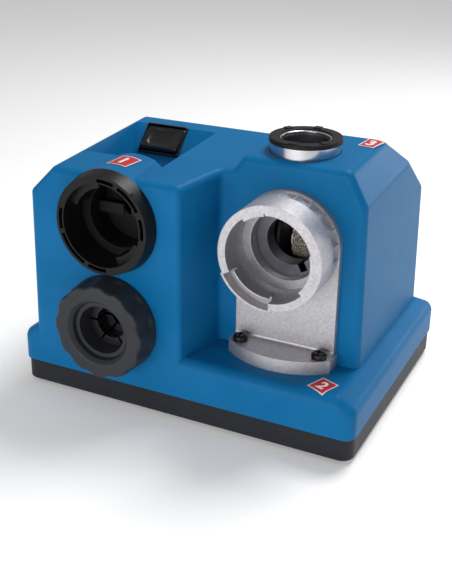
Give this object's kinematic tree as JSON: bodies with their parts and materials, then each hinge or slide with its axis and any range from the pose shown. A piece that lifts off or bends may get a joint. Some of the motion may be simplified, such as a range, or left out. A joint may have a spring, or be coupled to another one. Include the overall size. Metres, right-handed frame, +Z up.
{
  "type": "drill bit sharpener",
  "caption": "Bench-top electric drill bit sharpener with setting, sharpening and split-point ports and a stored twist-lock chuck.",
  "frame": {"origin": "on the bench, under the middle of the whole machine's outline", "axes": "+X to the right as the user faces it, +Y to the back, +Z up; the ports face -Y and the third port faces +Z"},
  "size_m": [0.26, 0.2132, 0.1985],
  "materials": {
    "black_plastic": "fine moulded texture",
    "foot_rubber": "matt",
    "dark_steel": "black oxide",
    "blue_plastic": "fine moulded texture",
    "zinc_steel": "zinc plated",
    "cast_alloy": "fine blasted",
    "bright_steel": "turned and polished",
    "ferrite": "matt",
    "brass_parts": "satin",
    "copper_wire": "lacquered",
    "grit": "diamond grit",
    "grey_plastic": "fine moulded texture",
    "pale_plastic": "satin",
    "board_green": "lacquered",
    "lead_insulation": "satin",
    "label_red": "printed film"
  },
  "bodies": {
    "machine": {"base_tray": "black_plastic", "rubber_feet": "foot_rubber", "base_screws": "dark_steel", "housing_front": "blue_plastic", "housing_ledge": "blue_plastic", "housing_tower_front": "blue_plastic", "housing_pocket": "blue_plastic", "housing_top": "blue_plastic", "housing_rear": "blue_plastic", "housing_right": "blue_plastic", "housing_left": "blue_plastic", "housing_middle": "blue_plastic", "motor_can": "zinc_steel", "motor_rear_bell": "cast_alloy", "motor_front_bell": "cast_alloy", "motor_magnets": "ferrite", "motor_bearings": "bright_steel", "brush_holders": "brass_parts", "carbon_brushes": "ferrite", "motor_cradle": "black_plastic", "motor_strap": "zinc_steel", "strap_screws": "zinc_steel", "tray_screws": "zinc_steel", "wheel_guard": "black_plastic", "port_bracket": "cast_alloy", "bracket_screws": "dark_steel", "bracket_nuts": "zinc_steel", "port_sleeve": "bright_steel", "setting_ring": "black_plastic", "setting_cup": "black_plastic", "setting_pawls": "bright_steel", "setting_screws": "zinc_steel", "chuck_socket": "black_plastic", "socket_screws": "zinc_steel", "split_tube": "bright_steel", "split_ring": "black_plastic", "split_clamp": "zinc_steel", "split_screws": "zinc_steel", "switch_body": "black_plastic", "switch_tabs": "brass_parts", "cable_gland": "foot_rubber", "terminal_block": "pale_plastic", "circuit_board": "board_green", "board_parts": "ferrite", "mains_leads": "lead_insulation", "port_labels": "label_red"},
    "rocker": {"switch_rocker": "black_plastic"},
    "spindle": {"spindle_shaft": "bright_steel", "armature_core": "zinc_steel", "armature_windings": "copper_wire", "commutator": "copper_wire", "cooling_fan": "black_plastic", "wheel_hub": "bright_steel", "diamond_wheel": "grit", "wheel_washer": "bright_steel", "wheel_screw": "dark_steel"},
    "chuck": {"chuck_body": "grey_plastic"},
    "collar": {"chuck_collar": "grey_plastic"},
    "collet": {"chuck_collet": "bright_steel"}
  },
  "joints": [
    {"name": "rocker_tilt", "type": "hinge", "parent": "machine", "child": "rocker", "pos_m": [-0.0657, 0.01998, 0.16887], "axis": [1, 0, 0], "range_deg": [0, 18]},
    {"name": "spindle_spin", "type": "hinge", "parent": "machine", "child": "spindle", "pos_m": [0, 0.0104, 0.1255], "axis": [1, 0, 0], "continuous": true},
    {"name": "chuck_pull", "type": "slide", "parent": "machine", "child": "chuck", "axis": [0, -1, 0], "range_m": [0, 0.08]},
    {"name": "collar_twist", "type": "hinge", "parent": "chuck", "child": "collar", "pos_m": [-0.0502, -0.0896, 0.0672], "axis": [0, 1, 0], "range_deg": [0, 360]},
    {"name": "collet_slide", "type": "slide", "parent": "chuck", "child": "collet", "axis": [0, 1, 0], "range_m": [0, 0.0021]}
  ],
  "couplings": [
    {"joint": "collet_slide", "follows": "collar_twist", "m_per_rad": 0.000318}
  ]
}
